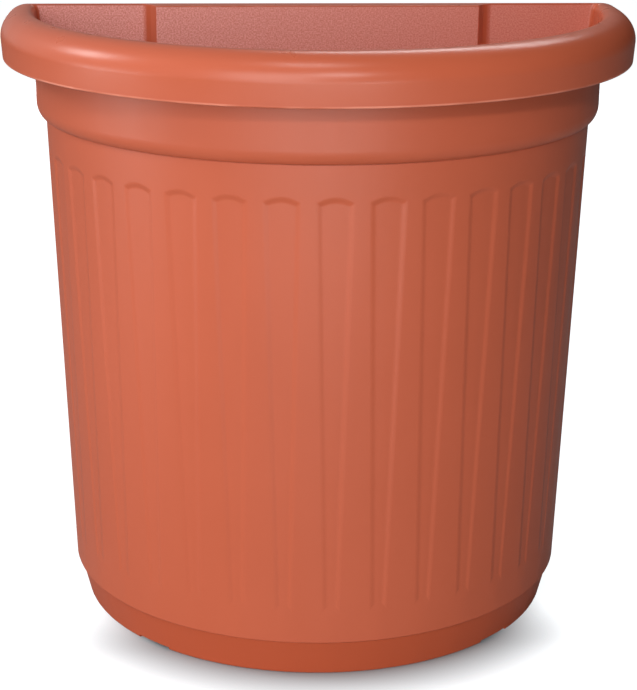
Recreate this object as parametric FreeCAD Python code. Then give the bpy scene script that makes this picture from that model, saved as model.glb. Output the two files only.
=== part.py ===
"""Half-round fluted wall planter: one moulded shell and four push-in drain plugs.

Millimetres, +Z up. The planter stands on z = 0, its flat back faces +Y and its round
front faces -Y. The origin is under the middle of the box that it fills.
"""

import FreeCAD, Part
import math
import os

from FreeCAD import Vector

# ---- overall -------------------------------------------------------------------
rim_radius = 200.0  # outside of the rim, so the planter is twice this wide
straight_side = 12.0  # the half circle stands this far off the back plane
height = 390.0  # ground to the crest of the rim
wall = 3.0  # moulded wall of the sides, rim and foot
back_wall = 3.0  # moulded wall of the flat back

# ---- rim: a rolled lip, open underneath ----------------------------------------
rim_height = 29.5  # crest to the lower edge of the skirt
rim_overhang = 20.6  # the rim stands out this far over the collar
rim_outer_round = 16.0  # from the crest over to the outer face
rim_inner_round = 5.0  # from the crest down into the pot
rim_draft = 0.8  # the skirt draws in this much towards its lower edge
skirt_edge = 0.8  # chamfer along the lower edge of the skirt

# ---- collar under the rim ------------------------------------------------------
collar_height = 36.0  # lower edge of the skirt to the crease above the body
shoulder_depth = 5.8  # the collar stands out this far over the body
shoulder_height = 9.0  # height of the rounded shoulder at the foot of the collar

# ---- body and foot ---------------------------------------------------------------
body_taper = 10.0  # radius lost from the crease down to the step above the foot
foot_height = 24.5  # ground to the step
foot_step = 1.8  # the foot stands in this far at the step
foot_taper = 5.6  # radius lost from the step down to the ground
foot_edge = 1.6  # chamfer along the outer lower edge of the foot

# ---- floor ---------------------------------------------------------------------
floor_top = 24.0  # top of the floor above the ground
floor_thickness = 4.0
floor_round = 8.0  # inside, between floor and side

# ---- flutes: shallow arched hollows that fade out towards the foot ---------------
flute_count = 17
flute_pitch = 10.15  # degrees
flute_crown_gap = 19.2  # crease down to the crown of a flute
flute_top_width = 20.4
flute_low_width = 8.8
flute_low_gap = 21.5  # step up to the lower end of a flute
flute_top_depth = 1.0
flute_low_depth = 0.08
flute_edge = 1.8  # width of the sloping side of a flute at its top
flute_arch_rise = 3.0  # height of the arch over its springing

# ---- back: middle panel set forward, with a ledge over the recess -----------------
panel_half_width = 103.0  # flat of the middle panel, inside face
recess_depth = 9.0
joggle_run = 5.3  # sideways run of the sloping side of the recess
joggle_round = 7.0  # inside, where the slope meets the side panel
panel_round = 1.5  # inside, where the slope meets the middle panel
corner_round = 3.0  # inside, between back and side
ledge_thickness = 3.0

# ---- notches that let water out from under the foot -------------------------------
notch_angle = 44.6  # degrees either side of the front
notch_width = 27.0
notch_height = 2.2

# ---- screw holes in the two side panels of the back --------------------------------
screw_hole_radius = 3.0
screw_beside_panel = 39.0  # out from the edge of the middle panel
screw_below_crest = 50.0

# ---- drain holes and their plugs ---------------------------------------------------
drain_hole_radius = 8.0
drain_inset = 55.6  # in from the body's side at the step
drain_angles = {  # degrees from the front, positive towards +X
    "rear_left": -72.0,
    "front_left": -26.0,
    "front_right": 26.0,
    "rear_right": 72.0,
}
drain_boss_wall = 3.0  # ring under the floor around each hole
drain_boss_drop = 3.0
plug_clearance = 0.1  # between the stem and its hole
plug_seat_gap = 0.3  # between the cap and the floor
plug_cap_lip = 5.0  # the cap reaches this far past the hole's edge
plug_cap_thickness = 2.4
plug_stem_past = 4.7  # the stem reaches this far out below its boss
plug_lead_in = 1.6  # height of the chamfer at the lower end of the stem
plug_lead_in_width = 0.8
plug_grip_length = 16.0
plug_grip_width = 3.0
plug_grip_height = 5.0
plug_grip_edge = 0.8  # chamfer along the top of the grip

# ---- worked out ----------------------------------------------------------------
depth = rim_radius + straight_side
back_y = depth / 2.0
axis_y = back_y - straight_side
crest_radius = rim_radius - rim_outer_round
collar_radius = rim_radius - rim_overhang
body_top_radius = collar_radius - shoulder_depth
body_foot_radius = body_top_radius - body_taper
foot_top_radius = body_foot_radius - foot_step
foot_bottom_radius = foot_top_radius - foot_taper
skirt_z = height - rim_height
crease_z = skirt_z - collar_height
crown_z = crease_z - flute_crown_gap
flute_low = foot_height + flute_low_gap
body_draft = body_taper / (crease_z - foot_height)
panel_y = back_y - recess_depth
drain_circle = body_foot_radius - drain_inset
past = 5.0  # how far a cutting solid runs past what it cuts
flute_margin = 0.6  # a flute's blank runs this far past its floor and the surface
touch = 0.01  # two faces closer than this are one

ORIGIN = Vector(0, 0, 0)
UP = Vector(0, 0, 1)


# ---- outlines ------------------------------------------------------------------
def line(a, b):
    """Straight edge between two (radius, height) points."""
    return Part.LineSegment(Vector(a[0], 0, a[1]), Vector(b[0], 0, b[1])).toShape()


def chain(points):
    """Straight edges from point to point."""
    return [line(points[i], points[i + 1]) for i in range(len(points) - 1)]


def on_oval(centre, across, up, degrees):
    """Point at an angle on an oval in the (radius, height) plane."""
    turn = math.radians(degrees)
    return (centre[0] + across * math.cos(turn), centre[1] + up * math.sin(turn))


def steps(centre, across, up, start, end, count):
    """Points of an oval rounding, for one that is made in straight steps."""
    turns = [start + (end - start) * i / count for i in range(count + 1)]
    return [on_oval(centre, across, up, turn) for turn in turns]


def closed_face(edges):
    """Flat face inside a chain of edges."""
    return Part.Face(Part.Wire(Part.sortEdges(edges)[0]))


def body_radius(z):
    """Outside radius of the body at a height."""
    return body_foot_radius + body_draft * (z - foot_height)


def half_round(section):
    """Sweeps a section round the front and straight back to the back plane.

    The section lies in the X-Z plane on the +X side of the axis.
    """
    turned = section.revolve(ORIGIN, UP, -180.0)
    right = section.extrude(Vector(0, straight_side, 0))
    left = section.mirror(ORIGIN, Vector(1, 0, 0)).extrude(Vector(0, straight_side, 0))
    solid = turned.fuse([right, left]).removeSplitter()
    solid.translate(Vector(0, axis_y, 0))
    return solid


def outer_section():
    """Everything inside the outside surface, filled in to the axis."""
    over_centre = (crest_radius, height - rim_outer_round)
    over = steps(over_centre, rim_outer_round, rim_outer_round, 90, 0, 6)
    skirt_radius = rim_radius - rim_draft
    edge_out = (skirt_radius, skirt_z + skirt_edge)
    edge_in = (skirt_radius - skirt_edge, skirt_z)
    shoulder_centre = (body_top_radius, crease_z + shoulder_height)
    shoulder = steps(shoulder_centre, shoulder_depth, shoulder_height, 0, -90, 3)
    step_out = (body_foot_radius, foot_height)
    step_in = (foot_top_radius, foot_height)
    edge_top = (foot_bottom_radius, foot_edge)
    edge_low = (foot_bottom_radius - foot_edge, 0)
    under_rim = (collar_radius, skirt_z)
    edges = [
        line((0, height), over[0]),
        *chain(over),
        line(over[-1], edge_out),
        line(edge_out, edge_in),
        line(edge_in, under_rim),
        line(under_rim, shoulder[0]),
        *chain(shoulder),
        line(shoulder[-1], step_out),
        line(step_out, step_in),
        line(step_in, edge_top),
        line(edge_top, edge_low),
        line(edge_low, (0, 0)),
        line((0, 0), (0, height)),
    ]
    return closed_face(edges)


def inner_section():
    """The hollow of the pot, filled in to the axis and run out over the rim."""
    roll_centre = (crest_radius, height - rim_inner_round)
    roll = steps(roll_centre, rim_inner_round, rim_inner_round, 90, 180, 3)
    flare_foot = (collar_radius - wall, skirt_z)
    crease_inside = (body_top_radius - wall, crease_z)
    wall_foot_z = floor_top + floor_round
    wall_foot = (body_radius(wall_foot_z) - wall, wall_foot_z)
    round_centre = (wall_foot[0] - floor_round, wall_foot_z)
    bowl = steps(round_centre, floor_round, floor_round, 0, -90, 2)
    shoulder_inside = (collar_radius - wall, crease_z + shoulder_height)
    above = height + past
    edges = [
        line((0, above), (crest_radius, above)),
        line((crest_radius, above), roll[0]),
        *chain(roll),
        line(roll[-1], flare_foot),
        line(flare_foot, shoulder_inside),
        line(shoulder_inside, crease_inside),
        line(crease_inside, wall_foot),
        *chain(bowl),
        line(bowl[-1], (0, floor_top)),
        line((0, floor_top), (0, above)),
    ]
    return closed_face(edges)


def soft_corners(hollow):
    """Rounds the upright corners of the hollow between its back and its sides."""
    side_face = back_y - back_wall
    beside_joggle = panel_half_width + joggle_run + joggle_round
    corners = []
    for edge in hollow.Edges:
        box = edge.BoundBox
        on_back = box.YMin > side_face - touch
        outside = abs(box.Center.x) > beside_joggle
        rising = box.ZLength > touch and box.ZMin < height - touch
        if on_back and outside and rising:
            corners.append(edge)
    return hollow.makeFillet(corner_round, corners)


def groove_section():
    """The space under the rim, between its skirt and the collar."""
    inside_round = rim_outer_round - wall
    centre = (crest_radius, height - rim_outer_round)
    over = steps(centre, inside_round, inside_round, 90, 0, 3)
    skirt_inside = (rim_radius - rim_draft - wall, skirt_z)
    collar_face = (collar_radius, skirt_z)
    below = skirt_z - past
    neck_centre = (crest_radius, height - rim_inner_round)
    neck_round = rim_inner_round - wall
    neck = steps(neck_centre, neck_round, neck_round, 180, 90, 1)
    edges = [
        *chain(over),
        line(over[-1], skirt_inside),
        line(skirt_inside, (skirt_inside[0], below)),
        line((skirt_inside[0], below), (collar_radius, below)),
        line((collar_radius, below), collar_face),
        line(collar_face, neck[0]),
        *chain(neck),
    ]
    return closed_face(edges)


def foot_section():
    """The space under the floor, inside the foot."""
    under_floor = floor_top - floor_thickness
    below = -past
    top_radius = foot_top_radius - wall
    bottom_radius = foot_bottom_radius - wall
    edges = [
        line((0, below), (bottom_radius, below)),
        line((bottom_radius, below), (bottom_radius, 0)),
        line((bottom_radius, 0), (top_radius, under_floor)),
        line((top_radius, under_floor), (0, under_floor)),
        line((0, under_floor), (0, below)),
    ]
    return closed_face(edges)


# ---- the flat back -------------------------------------------------------------
def rounded_plan(points, rounds):
    """Closed plan outline with some of its corners rounded.

    points are (x, y) corners in order, and rounds gives each its radius or 0.
    """
    corners = [Vector(x, y, 0) for x, y in points]
    count = len(corners)
    starts = []
    edges = []
    for i in range(count):
        corner = corners[i]
        before = (corners[i - 1] - corner).normalize()
        after = (corners[(i + 1) % count] - corner).normalize()
        radius = rounds[i]
        if radius == 0:
            starts.append((corner, corner))
            continue
        half = before.getAngle(after) / 2.0
        reach = radius / math.tan(half)
        middle_way = (before + after).normalize()
        bisector = radius / math.sin(half) - radius
        a = corner + before * reach
        b = corner + after * reach
        middle = corner + middle_way * bisector
        edges.append(Part.Arc(a, middle, b).toShape())
        starts.append((a, b))
    for i in range(count):
        a = starts[i][1]
        b = starts[(i + 1) % count][0]
        edges.append(Part.LineSegment(a, b).toShape())
    return closed_face(edges)


def in_front_of_back(low, high):
    """Prism of all that lies in front of the back wall's inside face."""
    side_face = back_y - back_wall
    panel_face = panel_y - back_wall
    far = rim_radius + past
    front = back_y - depth - past
    step_x = panel_half_width + joggle_run
    points = [
        (-far, front),
        (far, front),
        (far, side_face),
        (step_x, side_face),
        (panel_half_width, panel_face),
        (-panel_half_width, panel_face),
        (-step_x, side_face),
        (-far, side_face),
    ]
    rounds = [0, 0, 0, joggle_round, panel_round, panel_round, joggle_round, 0]
    face = rounded_plan(points, rounds)
    face.translate(Vector(0, 0, low))
    return face.extrude(Vector(0, 0, high - low))


def rear_recess():
    """The hollow behind the middle panel, open below and closed by the ledge."""
    slant = math.hypot(joggle_run, recess_depth)
    lead = joggle_run / recess_depth
    shift = back_wall * slant / recess_depth
    panel_back = panel_half_width + back_wall * lead - shift
    opening = panel_back + (recess_depth + past) * lead
    out_y = back_y + past
    corners = [(-panel_back, panel_y), (panel_back, panel_y), (opening, out_y), (-opening, out_y)]
    face = rounded_plan(corners, [0, 0, 0, 0])
    face.translate(Vector(0, 0, -past))
    return face.extrude(Vector(0, 0, height - ledge_thickness + past))


# ---- flutes --------------------------------------------------------------------
def flute_outline(grow, proud):
    """Outline of one flute, on a plane that leans as the body's side does.

    It is narrow at the foot and arched at the top. grow widens it on every side, and
    proud is how far its plane stands outside the body's surface.
    """

    def place(x, z):
        return Vector(x, -(body_radius(z) + proud), z)

    crown = crown_z + grow
    springing = crown - flute_arch_rise
    bottom = flute_low - grow
    top = flute_top_width / 2.0 + grow
    low = flute_low_width / 2.0 + grow
    a, b = place(-low, bottom), place(low, bottom)
    c, d = place(top, springing), place(-top, springing)
    edges = [
        Part.LineSegment(a, b).toShape(),
        Part.LineSegment(b, c).toShape(),
        Part.Arc(c, place(0, crown), d).toShape(),
        Part.LineSegment(d, a).toShape(),
    ]
    return Part.Wire(edges)


def flute_band():
    """Ring between the flutes' floor and just past the body's surface."""
    low = flute_low - past
    deepening = (flute_top_depth - flute_low_depth) / (crown_z - flute_low)

    def floor_radius(z):
        return body_radius(z) - flute_low_depth - deepening * (z - flute_low)

    reach = body_top_radius + past
    inside_low = (floor_radius(low), low)
    inside_top = (floor_radius(crease_z), crease_z)
    edges = [
        line(inside_low, (reach, low)),
        line((reach, low), (reach, crease_z)),
        line((reach, crease_z), inside_top),
        line(inside_top, inside_low),
    ]
    return closed_face(edges).revolve(ORIGIN, UP, -180.0)


def flute_cutters():
    """The solids that hollow the flutes out of the body."""
    slope = flute_edge / flute_top_depth
    inside = flute_top_depth + flute_margin
    inner_wire = flute_outline(-slope * inside, -inside)
    outer_wire = flute_outline(slope * flute_margin, flute_margin)
    blank = Part.makeLoft([inner_wire, outer_wire], True, True)
    first = -flute_pitch * (flute_count - 1) / 2.0
    blanks = []
    for i in range(flute_count):
        one = blank.copy()
        one.rotate(ORIGIN, UP, first + i * flute_pitch)
        blanks.append(one)
    cutters = flute_band().common(Part.makeCompound(blanks))
    cutters.translate(Vector(0, axis_y, 0))
    return cutters


# ---- small features of the shell -----------------------------------------------
def around_axis(degrees, radius):
    """Plan position at an angle from the front, positive towards +X."""
    turn = math.radians(degrees)
    return Vector(radius * math.sin(turn), axis_y - radius * math.cos(turn), 0)


def notches():
    """Low gaps through the foot, one either side of the front."""
    cuts = []
    reach = foot_taper + wall + past
    for side in (-1, 1):
        block = Part.makeBox(notch_width, 2 * reach, notch_height + past)
        block.translate(Vector(-notch_width / 2.0, -foot_bottom_radius - reach, -past))
        block.rotate(ORIGIN, UP, side * notch_angle)
        block.translate(Vector(0, axis_y, 0))
        cuts.append(block)
    return cuts


def screw_holes():
    """Round holes through the two side panels of the back."""
    cuts = []
    out = panel_half_width + screw_beside_panel
    for side in (-1, 1):
        start = Vector(side * out, back_y - back_wall - past, height - screw_below_crest)
        cuts.append(Part.makeCylinder(screw_hole_radius, back_wall + 2 * past, start, Vector(0, 1, 0)))
    return cuts


def drain_places():
    """Plan position of each drain hole by name."""
    return {name: around_axis(angle, drain_circle) for name, angle in drain_angles.items()}


def drain_bosses():
    """Ring under the floor round each drain hole."""
    rings = []
    under_floor = floor_top - floor_thickness
    for place in drain_places().values():
        low = Vector(place.x, place.y, under_floor - drain_boss_drop)
        radius = drain_hole_radius + drain_boss_wall
        rings.append(Part.makeCylinder(radius, drain_boss_drop + floor_thickness / 2.0, low))
    return rings


def drain_holes():
    """Holes through the floor and its bosses."""
    cuts = []
    for place in drain_places().values():
        low = Vector(place.x, place.y, 0)
        cuts.append(Part.makeCylinder(drain_hole_radius, floor_top + past, low))
    return cuts


def planter_shell():
    """The one-piece moulding: rim, collar, fluted body, foot, floor and back."""
    front = in_front_of_back(-2 * past, height + 2 * past)
    hollow = soft_corners(half_round(inner_section()).common(front))
    groove = half_round(groove_section()).common(front)
    under = half_round(foot_section()).common(front)
    shell = half_round(outer_section())
    shell = shell.cut([hollow, groove, under, rear_recess()])
    shell = shell.fuse(drain_bosses())
    shell = shell.cut(drain_holes() + screw_holes() + notches())
    shell = shell.cut(flute_cutters())
    return shell.removeSplitter()


# ---- drain plug ----------------------------------------------------------------
def plug_section():
    """Half section of the cap and its stem."""
    seat = floor_top + plug_seat_gap
    cap_top = seat + plug_cap_thickness
    stem_radius = drain_hole_radius - plug_clearance
    stem_end = floor_top - floor_thickness - drain_boss_drop - plug_stem_past
    tip_radius = stem_radius - plug_lead_in_width
    cap_radius = drain_hole_radius + plug_cap_lip
    edges = [
        line((0, cap_top), (cap_radius, cap_top)),
        line((cap_radius, cap_top), (cap_radius, seat)),
        line((cap_radius, seat), (stem_radius, seat)),
        line((stem_radius, seat), (stem_radius, stem_end + plug_lead_in)),
        line((stem_radius, stem_end + plug_lead_in), (tip_radius, stem_end)),
        line((tip_radius, stem_end), (0, stem_end)),
        line((0, stem_end), (0, cap_top)),
    ]
    return closed_face(edges)


def plug_grip():
    """Upright bar across the cap, chamfered along its top and rooted in the cap."""
    root = floor_top + plug_seat_gap + plug_cap_thickness / 2.0
    top = root + plug_cap_thickness / 2.0 + plug_grip_height
    corner = Vector(-plug_grip_length / 2.0, -plug_grip_width / 2.0, root)
    grip = Part.makeBox(plug_grip_length, plug_grip_width, top - root, corner)
    top_edges = [edge for edge in grip.Edges if edge.BoundBox.ZMin > top - touch]
    return grip.makeChamfer(plug_grip_edge, top_edges)


def drain_plug(place):
    """Soft plug: a round cap with a grip across it, and a stem below."""
    plug = plug_section().revolve(ORIGIN, UP, 360.0).fuse(plug_grip()).removeSplitter()
    plug.translate(place)
    return plug


def save(name, shape):
    """Writes one piece as a STEP file and says what it is."""
    solids = shape.Solids
    if len(solids) != 1:
        raise ValueError(f"{name} has {len(solids)} solids")
    solid = solids[0]
    print(f"{name}: valid {solid.isValid()}, {solid.Volume / 1000.0:.1f} cm3, {len(solid.Faces)} faces")
    solid.exportStep(f"parts/{name}.step")


os.makedirs("parts", exist_ok=True)
save("planter_shell", planter_shell())
for plug_name, plug_place in drain_places().items():
    save(f"drain_plug_{plug_name}", drain_plug(plug_place))
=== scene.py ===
import math

import bmesh
import bpy
from mathutils import Matrix, Vector


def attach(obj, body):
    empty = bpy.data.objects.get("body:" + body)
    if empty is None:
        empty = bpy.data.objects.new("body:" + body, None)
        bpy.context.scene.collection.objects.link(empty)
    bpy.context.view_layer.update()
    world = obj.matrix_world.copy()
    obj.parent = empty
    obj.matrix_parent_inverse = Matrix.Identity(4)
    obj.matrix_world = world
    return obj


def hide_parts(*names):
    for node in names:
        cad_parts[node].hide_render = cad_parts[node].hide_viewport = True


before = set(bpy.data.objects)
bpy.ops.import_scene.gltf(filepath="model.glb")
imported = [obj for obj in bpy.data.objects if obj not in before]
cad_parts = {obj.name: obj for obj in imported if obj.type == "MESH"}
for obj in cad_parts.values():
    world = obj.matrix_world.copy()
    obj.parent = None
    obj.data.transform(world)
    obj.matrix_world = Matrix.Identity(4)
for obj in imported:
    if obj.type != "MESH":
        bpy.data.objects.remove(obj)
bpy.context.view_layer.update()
bpy.ops.object.select_all(action="DESELECT")


# ---- Fluted wall -----------------------------------------------------------------
# The round front of the pot, in terracotta-coloured polypropylene, moulded in one with
# the rim and the back. Seventeen shallow flutes run up it. Each is narrow and shallow
# at the foot and ends in a low arch under the collar.
crease_radius = 0.1736
crease_z = 0.3245
step_radius = 0.1636
step_z = 0.0245
step_edge = 0.0006
axis_y = 0.094
back_y = 0.106
flute_count = 17
flute_pitch = math.radians(10.15) * crease_radius
flute_half_top = 0.0106
flute_half_low = 0.0048
flute_low_z = 0.046
flute_spring_z = 0.3023
flute_arch = 0.0030
flute_slope = 0.0026
flute_depth = 0.0011
flute_low_depth = 0.00006
flute_soft_edge = 0.0010
flute_columns = (-1.0, -0.6, -0.3, 0.0, 0.3, 0.6, 1.0)
flute_gather = 0.3


def pick(test, kind="VERT"):
    """Selects what passes a test in the mesh being edited."""
    bpy.ops.mesh.select_mode(type=kind)
    bpy.ops.mesh.select_all(action="DESELECT")
    mesh = bmesh.from_edit_mesh(bpy.context.edit_object.data)
    for part in {"VERT": mesh.verts, "EDGE": mesh.edges, "FACE": mesh.faces}[kind]:
        if test(part):
            part.select_set(True)
    mesh.select_flush_mode()
    bmesh.update_edit_mesh(bpy.context.edit_object.data)


def begin(name):
    """Names the primitive just added and opens it for editing."""
    thing = bpy.context.active_object
    thing.name = name
    thing.data.name = name
    bpy.ops.object.mode_set(mode="EDIT")
    return thing


def close_up():
    """Merges doubles, turns faces outwards and leaves edit mode."""
    bpy.ops.mesh.select_mode(type="VERT")
    bpy.ops.mesh.select_all(action="SELECT")
    bpy.ops.mesh.remove_doubles(threshold=0.00001)
    bpy.ops.mesh.normals_make_consistent(inside=False)
    bpy.ops.object.mode_set(mode="OBJECT")


def apply_modifier(thing, kind, **settings):
    """Adds a modifier to a piece, sets it and applies it."""
    bpy.ops.object.select_all(action="DESELECT")
    thing.select_set(True)
    bpy.context.view_layer.objects.active = thing
    bpy.ops.object.modifier_add(type=kind)
    modifier = thing.modifiers[-1]
    for setting, value in settings.items():
        setattr(modifier, setting, value)
    bpy.ops.object.modifier_apply(modifier=modifier.name)


def near(a, b, within=0.00002):
    return abs(a - b) < within


# One flute and half a rib each side, laid out flat and standing upright.
columns = [-flute_pitch / 2, *(c * flute_half_top for c in flute_columns), flute_pitch / 2]
row_heights = [step_z + step_edge, flute_low_z, flute_spring_z, crease_z]
bpy.ops.mesh.primitive_grid_add(
    x_subdivisions=len(columns) - 1,
    y_subdivisions=len(row_heights) - 1,
    size=2,
    rotation=(math.pi / 2, 0, 0),
)
bpy.ops.object.transform_apply(rotation=True)
shell = begin("planter_shell_skin")
for i in reversed(range(len(columns))):
    here = -1 + 2 * i / (len(columns) - 1)
    pick(lambda v: near(v.co.x, here) and not v.hide)
    bpy.ops.transform.translate(value=(10 + columns[i] - here, 0, 0))
bpy.ops.mesh.select_all(action="SELECT")
bpy.ops.transform.translate(value=(-10, 0, 0))
for i in reversed(range(len(row_heights))):
    here = -1 + 2 * i / (len(row_heights) - 1)
    pick(lambda v: near(v.co.z, here))
    bpy.ops.transform.translate(value=(0, 0, 10 + row_heights[i] - here))
bpy.ops.mesh.select_all(action="SELECT")
bpy.ops.transform.translate(value=(0, 0, -10))

# The flute is narrow below, wider by as much as the taper draws the wall in.
draft = (crease_radius - step_radius) / (crease_z - step_z)
for z, half in ((row_heights[0], flute_half_low), (flute_low_z, flute_half_low)):
    drawn_in = (crease_radius - draft * (crease_z - z)) / crease_radius
    narrow = half / drawn_in / flute_half_top
    pick(lambda v: near(v.co.z, z) and abs(v.co.x) < flute_half_top + 0.0001)
    bpy.ops.transform.resize(value=(narrow, 1, 1), center_override=(0, 0, z))
    pick(lambda v: near(v.co.z, z) and abs(v.co.x) < 0.9 * narrow * flute_half_top)
    bpy.ops.transform.resize(value=(flute_gather, 1, 1), center_override=(0, 0, z))
for c in flute_columns[1:-1]:
    pick(lambda v: near(v.co.z, flute_spring_z) and near(v.co.x, c * flute_half_top))
    bpy.ops.transform.translate(value=(0, 0, flute_arch * (1 - c * c)))

# Its floor is let in, less and less towards the foot, and both edges are softened.
pick(
    lambda f: flute_low_z < f.calc_center_median().z < flute_spring_z
    and abs(f.calc_center_median().x) < flute_half_top,
    "FACE",
)
bpy.ops.mesh.inset(thickness=flute_slope, depth=0, use_even_offset=True)
bpy.ops.transform.translate(value=(0, flute_depth, 0))
pick(lambda v: v.co.y > flute_depth / 2 and v.co.z < (flute_low_z + flute_spring_z) / 2)
bpy.ops.transform.translate(value=(0, flute_low_depth - flute_depth, 0))
pick(
    lambda e: e.calc_face_angle(0) > math.radians(8)
    or (
        e.verts[0].co.z < flute_low_z + 2 * flute_slope
        and e.verts[1].co.z < flute_low_z + 2 * flute_slope
        and e.calc_face_angle(0) > math.radians(1)
    ),
    "EDGE",
)
bpy.ops.mesh.bevel(offset=flute_soft_edge, segments=3, profile=0.5, clamp_overlap=True)
bpy.ops.object.mode_set(mode="OBJECT")
apply_modifier(
    shell, "ARRAY", count=flute_count, use_relative_offset=False,
    use_constant_offset=True, constant_offset_displace=(flute_pitch, 0, 0),
    use_merge_vertices=True, merge_threshold=0.00002,
)
bpy.ops.object.mode_set(mode="EDIT")
bpy.ops.mesh.select_all(action="SELECT")
bpy.ops.transform.translate(value=(-flute_pitch * (flute_count - 1) / 2, 0, -crease_z))

# Plain strips carry the wall on to a full half circle, and the strip is bent round.
fluted_half = flute_pitch * flute_count / 2
plain = (math.pi * crease_radius / 2 - fluted_half) / 2
for side in (-1, 1):
    pick(lambda e: all(near(v.co.x, side * fluted_half) for v in e.verts), "EDGE")
    for _ in range(2):
        bpy.ops.mesh.extrude_region_move(
            TRANSFORM_OT_translate={"value": (side * plain, 0, 0)}
        )
bpy.ops.object.mode_set(mode="OBJECT")
apply_modifier(shell, "SIMPLE_DEFORM", deform_method="BEND", deform_axis="Z", angle=math.pi)
bpy.ops.object.mode_set(mode="EDIT")
bpy.ops.mesh.select_all(action="SELECT")
bpy.ops.transform.translate(value=(0, -crease_radius, 0))
bpy.ops.object.mode_set(mode="OBJECT")
strip_height = crease_z - step_z - step_edge
apply_modifier(
    shell, "SIMPLE_DEFORM", deform_method="TAPER", deform_axis="Z",
    factor=draft * strip_height / crease_radius,
)


# ---- Collar, rolled rim and foot --------------------------------------------------
# The same moulding goes on above the crease as a rounded shoulder, an upright collar
# and a rim that rolls out and down, and below the step as a foot that stands in a
# little. Each ring is drawn from the one before it.
collar_radius = 0.1794
shoulder_height = 0.009
skirt_z = 0.3605
skirt_edge = 0.0012
skirt_radius = 0.1992
rim_radius = 0.2000
rim_round = 0.016
height = 0.390
crest_radius = rim_radius - rim_round
foot_top_radius = 0.1618
foot_radius = 0.1562
foot_edge = 0.0016


def rounding(centre, across, up, start, end, count):
    """Points of a rounded edge as (radius, height), without its first one."""
    turns = [math.radians(start + (end - start) * i / count) for i in range(1, count + 1)]
    return [(centre[0] + across * math.cos(t), centre[1] + up * math.sin(t)) for t in turns]


def draw_rings(radius, z, points):
    """Extrudes the selected ring through (radius, height) points round the axis."""
    for next_radius, next_z in points:
        bpy.ops.mesh.extrude_region_move(
            TRANSFORM_OT_translate={"value": (0, 0, next_z - z)}
        )
        grow = next_radius / radius
        bpy.ops.transform.resize(value=(grow, grow, 1), center_override=(0, 0, next_z))
        radius, z = next_radius, next_z


def fill_flat(test):
    """Closes a flat opening with one face."""
    pick(test)
    bpy.ops.mesh.edge_face_add()


def run_back(far):
    """Carries the two ends of a half round straight back towards the wall."""
    pick(lambda e: all(abs(v.co.y) < 0.00002 for v in e.verts), "EDGE")
    bpy.ops.mesh.extrude_region_move(TRANSFORM_OT_translate={"value": (0, far, 0)})


bpy.ops.object.mode_set(mode="EDIT")
bpy.ops.mesh.select_all(action="SELECT")
bpy.ops.transform.translate(value=(0, 0, crease_z))
pick(lambda v: near(v.co.z, crease_z))
draw_rings(
    crease_radius,
    crease_z,
    [
        *rounding(
            (crease_radius, crease_z + shoulder_height),
            collar_radius - crease_radius, shoulder_height, -90, 0, 10,
        ),
        (collar_radius, skirt_z),
        (skirt_radius - skirt_edge, skirt_z),
        *rounding(
            (skirt_radius - skirt_edge, skirt_z + skirt_edge), skirt_edge, skirt_edge, -90, 0, 4
        ),
        (rim_radius, height - rim_round),
        *rounding((crest_radius, height - rim_round), rim_round, rim_round, 0, 90, 16),
    ],
)
pick(lambda v: near(v.co.z, step_z + step_edge))
draw_rings(
    step_radius + draft * step_edge,
    step_z + step_edge,
    [
        *rounding(
            (step_radius - step_edge, step_z + step_edge), step_edge, step_edge, 0, -90, 3
        ),
        (foot_top_radius, step_z),
        (foot_radius, foot_edge),
        *rounding((foot_radius - foot_edge, foot_edge), foot_edge, foot_edge, 0, -90, 4),
    ],
)
run_back(back_y - axis_y)
fill_flat(lambda v: near(v.co.z, height))
fill_flat(lambda v: near(v.co.z, 0))
fill_flat(lambda v: near(v.co.y, back_y - axis_y))
close_up()


# ---- Inside of the pot ------------------------------------------------------------
# The mould's core leaves a 3 mm wall: the hollow for the soil, the space under the
# rolled rim, the space under the floor, and a flat back whose middle panel is set
# forward between two sloping sides.
wall = 0.003
floor_z = 0.024
floor_thickness = 0.004
floor_round = 0.008
roll = 0.005
past = 0.005
panel_half = 0.103
joggle_run = 0.0053
joggle_depth = 0.009
joggle_turn = math.atan2(joggle_depth, joggle_run)
joggle_round = 0.007
panel_round = 0.0015
corner_round = 0.003
ledge = 0.003
ring_points = 240
crest_flat = 0.0003
shoulder_thick = 0.0016
shoulder_past = 0.002
top_edge = 0.0005
top_edge_half = 0.1745


def half_ring(name, radius, z):
    """Opens a half circle round the front for editing, with all of it selected."""
    bpy.ops.mesh.primitive_circle_add(vertices=ring_points, radius=radius, location=(0, 0, z))
    bpy.ops.object.transform_apply(location=True)
    thing = begin(name)
    pick(lambda v: v.co.y > 0.00002)
    bpy.ops.mesh.delete(type="VERT")
    bpy.ops.mesh.select_all(action="SELECT")
    return thing


def carve(thing, tool, operation="DIFFERENCE"):
    """Cuts a piece with a closed shape, or joins them, and removes the shape."""
    apply_modifier(thing, "BOOLEAN", operation=operation, object=tool, solver="EXACT")
    bpy.data.objects.remove(tool)


def copy_of(thing):
    twin = thing.copy()
    twin.data = thing.data.copy()
    bpy.context.collection.objects.link(twin)
    return twin


def join(things):
    """Makes one mesh of several."""
    bpy.ops.object.select_all(action="DESELECT")
    for thing in things:
        thing.select_set(True)
    bpy.context.view_layer.objects.active = things[0]
    bpy.ops.object.join()
    return things[0]


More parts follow.
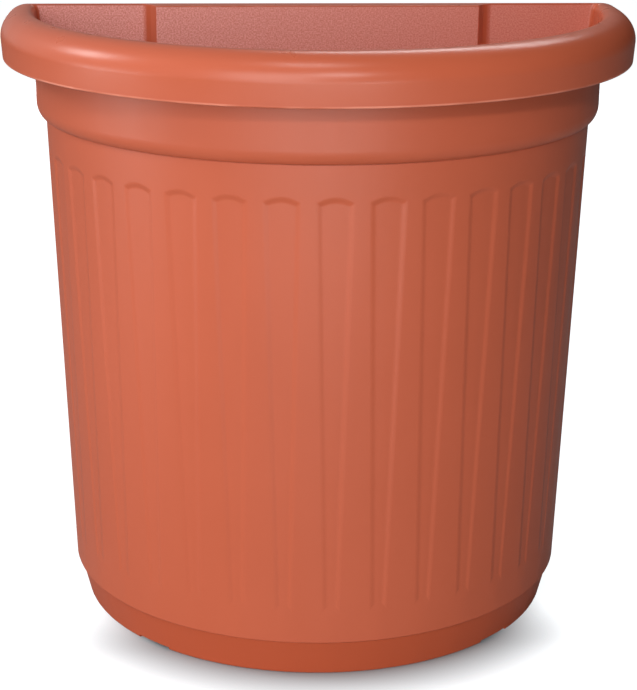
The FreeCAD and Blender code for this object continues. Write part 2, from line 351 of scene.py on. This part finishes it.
# What lies behind the inside face of the back.
inside_y = back_y - axis_y - wall
bpy.ops.mesh.primitive_cube_add(size=1, location=(0, inside_y + past, height / 2))
behind = begin("behind_the_back")
bpy.ops.transform.resize(value=(2 * rim_radius + 2 * past, 2 * past, height + 4 * past))
bpy.ops.object.mode_set(mode="OBJECT")
bpy.ops.object.transform_apply(location=True)
bpy.ops.object.mode_set(mode="EDIT")
for side in (-1, 1):
    bpy.ops.mesh.select_all(action="SELECT")
    bpy.ops.mesh.bisect(
        plane_co=(side * (panel_half + joggle_run), 0, 0), plane_no=(1, 0, 0)
    )
pick(
    lambda f: f.normal.y < -0.9 and abs(f.calc_center_median().x) < panel_half,
    "FACE",
)
bpy.ops.mesh.extrude_region_move(TRANSFORM_OT_translate={"value": (0, -joggle_depth, 0)})
bpy.ops.transform.resize(value=(panel_half / (panel_half + joggle_run), 1, 1))
for radius, x, y, count in (
    (joggle_round, panel_half + joggle_run, inside_y, 8),
    (panel_round, panel_half, inside_y - joggle_depth, 4),
):
    pick(
        lambda e: all(near(abs(v.co.x), x) and near(v.co.y, y) for v in e.verts),
        "EDGE",
    )
    bpy.ops.mesh.bevel(offset=radius * math.tan(joggle_turn / 2), segments=count)
close_up()

# The hollow for the soil.
hollow_foot = step_radius + draft * (floor_z + floor_round - step_z) - wall
hollow = half_ring("hollow", hollow_foot - floor_round, floor_z)
draw_rings(
    hollow_foot - floor_round,
    floor_z,
    [
        *rounding(
            (hollow_foot - floor_round, floor_z + floor_round),
            floor_round, floor_round, -90, 0, 8,
        ),
        (crease_radius - wall, crease_z),
        (collar_radius - wall - shoulder_thick, crease_z + 0.6 * shoulder_height),
        (collar_radius - wall, crease_z + shoulder_height + shoulder_past),
        (collar_radius - wall, skirt_z),
        (crest_radius - crest_flat - roll, height - roll),
        *rounding((crest_radius - crest_flat, height - roll), roll, roll, 180, 90, 8),
        (crest_radius - crest_flat, height + past),
    ],
)
run_back(inside_y + 0.4 * past)
fill_flat(lambda v: near(v.co.z, floor_z))
fill_flat(lambda v: near(v.co.z, height + past))
fill_flat(lambda v: near(v.co.y, inside_y + 0.4 * past))
close_up()
carve(hollow, copy_of(behind))
bpy.context.view_layer.objects.active = hollow
bpy.ops.object.mode_set(mode="EDIT")
pick(
    lambda e: all(
        near(v.co.y, inside_y) and abs(v.co.x) > panel_half + 4 * joggle_run for v in e.verts
    )
    and abs(e.verts[0].co.z - e.verts[1].co.z) > 0.00005,
    "EDGE",
)
bpy.ops.mesh.bevel(offset=corner_round, segments=5)
close_up()

# The space under the rolled rim.
groove = half_ring("under_rim", collar_radius, skirt_z - past)
draw_rings(
    collar_radius,
    skirt_z - past,
    [
        (collar_radius, skirt_z),
        (crest_radius - roll + wall, height - roll),
        *rounding((crest_radius, height - roll), roll - wall, roll - wall, 180, 90, 4),
        *rounding(
            (crest_radius, height - rim_round), rim_round - wall, rim_round - wall, 90, 0, 12
        ),
        (skirt_radius - wall, skirt_z),
        (skirt_radius - wall, skirt_z - past),
        (collar_radius, skirt_z - past),
    ],
)
bpy.ops.mesh.select_all(action="SELECT")
bpy.ops.mesh.remove_doubles(threshold=0.00001)
run_back(inside_y + 0.4 * past)
for side in (-1, 1):
    fill_flat(lambda v: near(v.co.y, inside_y + 0.4 * past) and v.co.x * side > 0)
close_up()

# The space under the floor.
under = half_ring("under_floor", foot_radius - wall, -past)
draw_rings(
    foot_radius - wall,
    -past,
    [(foot_radius - wall, 0), (foot_top_radius - wall, floor_z - floor_thickness)],
)
run_back(inside_y + 0.4 * past)
fill_flat(lambda v: near(v.co.z, -past))
fill_flat(lambda v: near(v.co.z, floor_z - floor_thickness))
fill_flat(lambda v: near(v.co.y, inside_y + 0.4 * past))
close_up()
carve(groove, copy_of(behind))
carve(under, behind)

# The recess behind the middle panel, open below and closed above by the ledge.
lead = joggle_run / joggle_depth
recess_half = panel_half + wall * lead - wall / math.sin(joggle_turn)
recess_back = joggle_depth + past
recess_top = height - ledge
bpy.ops.mesh.primitive_cube_add(size=1)
recess = begin("recess")
bpy.ops.transform.resize(value=(2 * recess_half, recess_back, recess_top + past))
bpy.ops.transform.translate(
    value=(0, back_y - axis_y + past - recess_back / 2, (recess_top - past) / 2)
)
pick(lambda f: f.normal.y > 0.9, "FACE")
bpy.ops.transform.resize(value=(1 + recess_back * lead / recess_half, 1, 1))
close_up()
carve(shell, join([hollow, groove, under, recess]))

# The top edge of the back wall is slightly rounded towards the soil.
bpy.context.view_layer.objects.active = shell
bpy.ops.object.mode_set(mode="EDIT")
pick(
    lambda e: e.calc_face_angle(0) > math.radians(60)
    and all(
        near(v.co.z, height)
        and 0 < v.co.y < inside_y + 0.0001
        and abs(v.co.x) < top_edge_half
        for v in e.verts
    ),
    "EDGE",
)
bpy.ops.mesh.bevel(offset=top_edge, segments=3, clamp_overlap=False)
close_up()


# ---- Holes in the moulding --------------------------------------------------------
# Four drain holes with a ring under the floor round each, two notches in the foot that
# let the water out, and a screw hole in each side panel of the back.
drain_radius = 0.008
drain_ring = 0.003
drain_drop = 0.003
drain_circle = 0.108
drain_angles = {
    "rear_left": -72,
    "front_left": -26,
    "front_right": 26,
    "rear_right": 72,
}
notch_angle = 44.6
notch_width = 0.027
notch_height = 0.0022
screw_radius = 0.003
screw_x = 0.142
screw_z = 0.340


def drain_place(name):
    """Middle of a drain hole, from the pot's axis."""
    turn = math.radians(drain_angles[name])
    return drain_circle * math.sin(turn), -drain_circle * math.cos(turn)


bosses = []
cutters = []
for name in drain_angles:
    x, y = drain_place(name)
    low = floor_z - floor_thickness - drain_drop
    high = floor_z - floor_thickness / 2
    bpy.ops.mesh.primitive_cylinder_add(
        vertices=64, radius=drain_radius + drain_ring, depth=high - low,
        location=(x, y, (low + high) / 2),
    )
    bosses.append(bpy.context.active_object)
    bpy.ops.mesh.primitive_cylinder_add(
        vertices=64, radius=drain_radius, depth=2 * floor_z, location=(x, y, floor_z)
    )
    cutters.append(bpy.context.active_object)
for side in (-1, 1):
    turn = side * math.radians(notch_angle)
    bpy.ops.mesh.primitive_cube_add(
        size=1,
        location=(foot_radius * math.sin(turn), -foot_radius * math.cos(turn), 0),
        rotation=(0, 0, turn),
        scale=(notch_width, 4 * past, 2 * notch_height),
    )
    cutters.append(bpy.context.active_object)
    bpy.ops.mesh.primitive_cylinder_add(
        vertices=48, radius=screw_radius, depth=4 * wall,
        location=(side * screw_x, back_y - axis_y, screw_z), rotation=(math.pi / 2, 0, 0),
    )
    cutters.append(bpy.context.active_object)
carve(shell, join(bosses), "UNION")
carve(shell, join(cutters))

bpy.context.view_layer.objects.active = shell
bpy.ops.object.mode_set(mode="EDIT")
bpy.ops.mesh.select_all(action="SELECT")
bpy.ops.transform.translate(value=(0, axis_y, 0))
close_up()
bpy.ops.object.shade_smooth_by_angle(angle=math.radians(32))
apply_modifier(shell, "WEIGHTED_NORMAL", keep_sharp=True, weight=50)


def new_material(name):
    """Starts a material and returns it with a helper that adds joined nodes."""
    material = bpy.data.materials.new(name)
    material.use_nodes = True
    tree = material.node_tree
    tree.nodes.clear()

    def node(kind, inputs=None, **settings):
        made = tree.nodes.new(kind)
        for setting, value in settings.items():
            setattr(made, setting, value)
        for socket, value in (inputs or {}).items():
            if isinstance(value, bpy.types.NodeSocket):
                tree.links.new(value, made.inputs[socket])
            else:
                made.inputs[socket].default_value = value
        return made

    return material, node


def ramp(node, factor, *stops):
    """Adds a colour ramp through (place, colour) stops."""
    made = node("ShaderNodeValToRGB", {"Fac": factor})
    bar = made.color_ramp
    while len(bar.elements) < len(stops):
        bar.elements.new(1.0)
    for element, (place, colour) in zip(bar.elements, stops):
        element.position = place
        element.color = (*colour, 1.0) if len(colour) == 3 else (*colour * 3, 1.0)
    return made.outputs["Color"]


# Moulded polypropylene: terracotta pigment that clouds a little in the flow, dull
# streaks, and a fine grain that fades out on the smoother rim. A deeper colour is painted
# on the front of the foot as shade, and a pale highlight is painted along the rim's lower edge.
light_pigment = (0.578, 0.123, 0.058)
dark_pigment = (0.548, 0.115, 0.053)
foot_shade_colour = (0.54, 0.096, 0.036, 1.0)
painted_highlight_pigment = (0.86, 0.30, 0.20, 1.0)
light_painted_sheen = (0.95, 0.44, 0.39)
dark_painted_sheen = (0.72, 0.23, 0.18)
terracotta, node = new_material("terracotta_polypropylene")
place = node("ShaderNodeTexCoord").outputs["Object"]
apart = node("ShaderNodeSeparateXYZ", {"Vector": place})
across_x = apart.outputs["X"]
inward_y = apart.outputs["Y"]
above_z = apart.outputs["Z"]


def between(value, low, high, start, end):
    """Maps a range of one value onto another, held at its ends."""
    return node(
        "ShaderNodeMapRange",
        {"Value": value, "From Min": low, "From Max": high, "To Min": start, "To Max": end},
    ).outputs["Result"]


def combine(kind, first, *others):
    """Adds or multiplies several values in turn."""
    for other in others:
        first = node("ShaderNodeMath", {0: first, 1: other}, operation=kind).outputs["Value"]
    return first


def noise(scale, detail=3.0, roughness=0.6, stretch=None):
    """Cloudy pattern over the object, finer for a higher scale."""
    spot = place
    if stretch:
        spot = node("ShaderNodeMapping", {"Vector": place, "Scale": stretch}).outputs["Vector"]
    return node(
        "ShaderNodeTexNoise",
        {"Vector": spot, "Scale": scale, "Detail": detail, "Roughness": roughness},
    ).outputs["Fac"]


def blend(amount, first, second):
    """Mixes two colours by an amount."""
    return node("ShaderNodeMix", {0: amount, 6: first, 7: second}, data_type="RGBA").outputs[2]


def from_axis(spot):
    """Distance of a point from the pot's upright axis, for a point at no height."""
    return node(
        "ShaderNodeVectorMath", {0: spot, 1: (0.0, axis_y, 0.0)}, operation="DISTANCE"
    ).outputs["Value"]


clouds = noise(7.0, 4.0, 0.55)
streaks = noise(60.0, 3.0, 0.6, (1.0, 1.0, 0.08))
grain = noise(1500.0, 3.0, 0.65)
coarse = noise(1000.0, 2.0, 0.6)
patches = noise(14.0)
outward = from_axis(
    node("ShaderNodeCombineXYZ", {"X": across_x, "Y": inward_y}).outputs["Vector"]
)
facing = node("ShaderNodeSeparateXYZ", {"Vector": node("ShaderNodeTexCoord").outputs["Normal"]})

# The inside face of the back is coarser and rougher, and a paler, pinker colour is painted on
# it as a sheen, strongest on the left and left off its sloping sides.
back_sheen_and_grain = combine(
    "MULTIPLY",
    between(inward_y, 0.0865, 0.0880, 0.0, 1.0),
    between(above_z, 0.3890, 0.3893, 1.0, 0.0),
    between(facing.outputs["Y"], -0.97, -0.85, 1.0, 0.0),
    between(across_x, -0.10, 0.16, 1.0, 0.35),
)
# A pale line painted along the rounded lower edge of the rim as a highlight, stronger and
# weaker along it.
skirt_edge_highlight = combine(
    "MULTIPLY",
    between(above_z, skirt_z, skirt_z + 0.0004, 0.0, 1.0),
    between(above_z, skirt_z + 0.0010, skirt_z + 0.0017, 1.0, 0.0),
    between(outward, 0.192, 0.196, 0.0, 1.0),
    between(patches, 0.42, 0.58, 0.15, 1.0),
)
# A deeper colour painted on the front of the foot as shade, for the sheen its inward-leaning
# face lacks.
painted_foot_shade = combine(
    "MULTIPLY",
    between(above_z, 0.0240, 0.0248, 1.0, 0.0),
    between(inward_y, 0.07, 0.10, 1.0, 0.0),
    between(outward, 0.1535, 0.1545, 0.0, 1.0),
)
smooth_rim = between(above_z, 0.366, 0.380, 0.0, 1.0)
colour = ramp(node, clouds, (0.30, dark_pigment), (0.70, light_pigment))
# Painted sheen on the inside face of the back.
colour = blend(back_sheen_and_grain, colour, ramp(node, coarse, (0.36, dark_painted_sheen), (0.64, light_painted_sheen)))
colour = blend(skirt_edge_highlight, colour, painted_highlight_pigment)
colour = blend(painted_foot_shade, colour, foot_shade_colour)
bump = node(
    "ShaderNodeBump",
    {
        "Height": combine("ADD", grain, combine("MULTIPLY", coarse, back_sheen_and_grain)),
        "Strength": between(smooth_rim, 0.0, 1.0, 0.5, 0.12),
        "Distance": 0.00012,
    },
)
surface = node(
    "ShaderNodeBsdfPrincipled",
    {
        "Base Color": colour,
        "Roughness": combine(
            "ADD",
            between(streaks, 0.1, 0.9, 0.34, 0.46),
            combine("MULTIPLY", smooth_rim, -0.10),
            combine("MULTIPLY", back_sheen_and_grain, 0.42),
        ),
        "IOR": 1.46,
        "Normal": bump.outputs["Normal"],
    },
)
node("ShaderNodeOutputMaterial", {"Surface": surface.outputs["BSDF"]})
shell.data.materials.append(terracotta)
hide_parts("planter_shell")
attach(shell, "planter")


# ---- Drain plugs ------------------------------------------------------------------
# Four soft rubber plugs push into the drain holes from above. Each is one moulding: a
# tapered stem, a round cap that seals on the floor, and a bar to pull it out by.
stem_radius = drain_radius - 0.0001
stem_foot = 0.0123
lead_in = 0.0016
lead_in_width = 0.0008
cap_radius = drain_radius + 0.005
cap_under = floor_z + 0.0003
cap_top = cap_under + 0.0024
cap_edge = 0.0006
grip_size = (0.016, 0.003, 0.005)
grip_edge = 0.0008

bpy.ops.mesh.primitive_cylinder_add(
    vertices=72, radius=stem_radius, depth=cap_under - stem_foot - lead_in,
    location=(0, 0, (cap_under + stem_foot + lead_in) / 2),
)
bpy.ops.object.transform_apply(location=True)
plug = begin("drain_plug")
pick(lambda f: f.normal.z < -0.9, "FACE")
draw_rings(stem_radius, stem_foot + lead_in, [(stem_radius - lead_in_width, stem_foot)])
pick(lambda f: f.normal.z > 0.9, "FACE")
draw_rings(
    stem_radius,
    cap_under,
    [
        (cap_radius - cap_edge, cap_under),
        *rounding(
            (cap_radius - cap_edge, cap_under + cap_edge), cap_edge, cap_edge, -90, 0, 4
        ),
        *rounding((cap_radius - cap_edge, cap_top - cap_edge), cap_edge, cap_edge, 0, 90, 4),
    ],
)
close_up()
bpy.ops.mesh.primitive_cube_add(size=1, location=(0, 0, cap_top + grip_size[2] / 2))
bpy.ops.object.transform_apply(location=True)
grip = begin("grip")
bpy.ops.transform.resize(
    value=grip_size, center_override=(0, 0, cap_top + grip_size[2] / 2)
)
pick(lambda e: not all(near(v.co.z, cap_top) for v in e.verts), "EDGE")
bpy.ops.mesh.bevel(offset=grip_edge, segments=4, clamp_overlap=True)
pick(lambda v: near(v.co.z, cap_top))
bpy.ops.transform.translate(value=(0, 0, -cap_edge))
close_up()
carve(plug, grip, "UNION")
bpy.context.view_layer.objects.active = plug
bpy.ops.object.mode_set(mode="EDIT")
close_up()
bpy.ops.object.shade_smooth_by_angle(angle=math.radians(35))

rubber, node = new_material("black_rubber")
place = node("ShaderNodeTexCoord").outputs["Object"]
dust = node(
    "ShaderNodeTexNoise", {"Vector": place, "Scale": 120.0, "Detail": 5.0, "Roughness": 0.65}
).outputs["Fac"]
pores = node("ShaderNodeTexVoronoi", {"Vector": place, "Scale": 2200.0}).outputs["Distance"]
surface = node(
    "ShaderNodeBsdfPrincipled",
    {
        "Base Color": ramp(
            node, dust, (0.40, (0.020, 0.020, 0.021)), (0.75, (0.052, 0.048, 0.044))
        ),
        "Roughness": node(
            "ShaderNodeMapRange", {"Value": dust, "To Min": 0.55, "To Max": 0.80}
        ).outputs["Result"],
        "IOR": 1.52,
        "Normal": node(
            "ShaderNodeBump", {"Height": pores, "Strength": 0.25, "Distance": 0.0001}
        ).outputs["Normal"],
    },
)
node("ShaderNodeOutputMaterial", {"Surface": surface.outputs["BSDF"]})
plug.data.materials.append(rubber)
for name in drain_angles:
    x, y = drain_place(name)
    one = copy_of(plug)
    one.name = one.data.name = "drain_plug_" + name + "_skin"
    bpy.ops.object.select_all(action="DESELECT")
    one.select_set(True)
    bpy.context.view_layer.objects.active = one
    bpy.ops.object.mode_set(mode="EDIT")
    bpy.ops.mesh.select_all(action="SELECT")
    bpy.ops.transform.translate(value=(x, y + axis_y, 0))
    bpy.ops.object.mode_set(mode="OBJECT")
    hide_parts("drain_plug_" + name)
    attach(one, "plug_" + name)
bpy.data.objects.remove(plug)


# ---- Studio -----------------------------------------------------------------------
# A pale floor that runs on into a white background, soft lamps from the left, the
# front, above and behind, and low ones for the light that comes up off the floor.
floor_white = (0.96, 0.985, 1.0, 1.0)
floor_seen = (0.33, 0.35, 0.365, 1.0)
floor_unseen = (0.30, 0.30, 0.30, 1.0)
shade_from = 0.156
shade_to = 0.197
shade_beside = 0.045
left_strength = 0.66
light_ends_at = 0.45

bpy.ops.mesh.primitive_plane_add(size=12, location=(0, 0, 0))
floor = bpy.context.active_object
floor.name = "studio_floor"
paper, node = new_material("white_paper")
seen = node("ShaderNodeLightPath").outputs["Is Camera Ray"]
matt = node("ShaderNodeBsdfDiffuse", {"Color": blend(seen, floor_unseen, floor_seen)})

# A shadow is painted on the paper round the foot: its glow is weakest where the foot
# meets it and white a few centimetres away, sooner at the sides and behind than in front.
place = node("ShaderNodeTexCoord").outputs["Object"]
beside = node(
    "ShaderNodeMapRange",
    {
        "Value": node("ShaderNodeSeparateXYZ", {"Vector": place}).outputs["Y"],
        "From Min": -0.03, "From Max": 0.06, "To Min": 0.0, "To Max": shade_beside,
    },
    interpolation_type="SMOOTHSTEP",
).outputs["Result"]
painted_shadow_lift = between(combine("ADD", from_axis(place), beside), shade_from, shade_to, 0.05, 0.95)
glow = node(
    "ShaderNodeEmission", {"Color": floor_white, "Strength": combine("MULTIPLY", painted_shadow_lift, seen)}
)
both = node("ShaderNodeAddShader", {0: matt.outputs["BSDF"], 1: glow.outputs["Emission"]})
node("ShaderNodeOutputMaterial", {"Surface": both.outputs["Shader"]})
floor.data.materials.append(paper)

# The room is white to the camera. It lights the pot most from the left, and not at all
# from the right.
world = bpy.data.worlds.new("studio")
bpy.context.scene.world = world
world.use_nodes = True
sky = world.node_tree
sky.nodes.clear()
way = sky.nodes.new("ShaderNodeTexCoord")
sideways = sky.nodes.new("ShaderNodeSeparateXYZ")
level = sky.nodes.new("ShaderNodeMapRange")
soft = sky.nodes.new("ShaderNodeBackground")
white = sky.nodes.new("ShaderNodeBackground")
rays = sky.nodes.new("ShaderNodeLightPath")
mixed = sky.nodes.new("ShaderNodeMixShader")
out = sky.nodes.new("ShaderNodeOutputWorld")
for name, value in (
    ("From Min", -1.0), ("From Max", light_ends_at), ("To Min", left_strength), ("To Max", 0.0)
):
    level.inputs[name].default_value = value
for background in (soft, white):
    background.inputs["Color"].default_value = (1.0, 1.0, 1.0, 1.0)
white.inputs["Strength"].default_value = 1.0
for start, end in (
    (way.outputs["Generated"], sideways.inputs["Vector"]),
    (sideways.outputs["X"], level.inputs["Value"]),
    (level.outputs["Result"], soft.inputs["Strength"]),
    (rays.outputs["Is Camera Ray"], mixed.inputs["Fac"]),
    (soft.outputs["Background"], mixed.inputs[1]),
    (white.outputs["Background"], mixed.inputs[2]),
    (mixed.outputs["Shader"], out.inputs["Surface"]),
):
    sky.links.new(start, end)


def add_lamp(name, place, target, size, power):
    """Adds a rectangular soft lamp that faces a point."""
    lamp = bpy.data.lights.new(name, "AREA")
    lamp.shape = "RECTANGLE"
    lamp.size, lamp.size_y = size
    lamp.energy = power
    holder = bpy.data.objects.new(name, lamp)
    bpy.context.collection.objects.link(holder)
    holder.location = place
    holder.rotation_euler = (Vector(target) - Vector(place)).to_track_quat("-Z", "Y").to_euler()


add_lamp("front_left", (-0.65, -1.79, 0.87), (0, 0, 0.2), (1.0, 1.0), 13.5)
add_lamp("front_high", (0.15, -1.73, 1.25), (0, 0, 0.3), (0.24, 0.16), 6.5)
add_lamp("above", (-0.10, -0.63, 1.67), (0, -0.05, 0.38), (0.40, 0.30), 3.2)
add_lamp("left", (-1.40, 0.20, 1.15), (-0.15, 0, 0.3), (0.4, 0.4), 6)
add_lamp("behind", (0.48, 1.12, 1.42), (0.1, 0, 0.39), (0.9, 0.3), 6)
add_lamp("low", (0.05, -1.35, 0.09), (0, 0, 0.35), (0.45, 0.10), 1.2)
add_lamp("low_left", (-1.87, -0.33, 0.17), (0, 0, 0.25), (0.8, 0.2), 5.5)
add_lamp("low_front", (-0.49, -1.83, 0.17), (0, 0, 0.25), (0.8, 0.2), 4)
add_lamp("low_right", (0.49, -1.83, 0.17), (0, 0, 0.25), (0.5, 0.2), 3)
add_lamp("back", (0.0, 2.1, 0.14), (0, 0.1, 0.2), (1.0, 0.2), 8)

# The camera stands a little to the left and above, with a long lens.
camera_place = (-0.0727, -1.0882, 0.5443)
lens_length = 96.5
sensor_height = 36.0
pitch = 0.311
yaw = 0.0628
roll = 0.007
forward = Vector(
    (math.sin(yaw) * math.cos(pitch), math.cos(yaw) * math.cos(pitch), -math.sin(pitch))
)
across = Vector((math.cos(yaw), -math.sin(yaw), 0))
upward = across.cross(forward)
side = math.cos(roll) * across + math.sin(roll) * upward
top = math.cos(roll) * upward - math.sin(roll) * across
lens = bpy.data.cameras.new("camera")
lens.sensor_fit = "VERTICAL"
lens.sensor_height = sensor_height
lens.lens = lens_length
camera = bpy.data.objects.new("camera", lens)
bpy.context.collection.objects.link(camera)
camera.matrix_world = Matrix(
    (
        (side.x, top.x, -forward.x, camera_place[0]),
        (side.y, top.y, -forward.y, camera_place[1]),
        (side.z, top.z, -forward.z, camera_place[2]),
        (0, 0, 0, 1),
    )
)
bpy.context.scene.camera = camera
bpy.context.scene.view_settings.view_transform = "Standard"
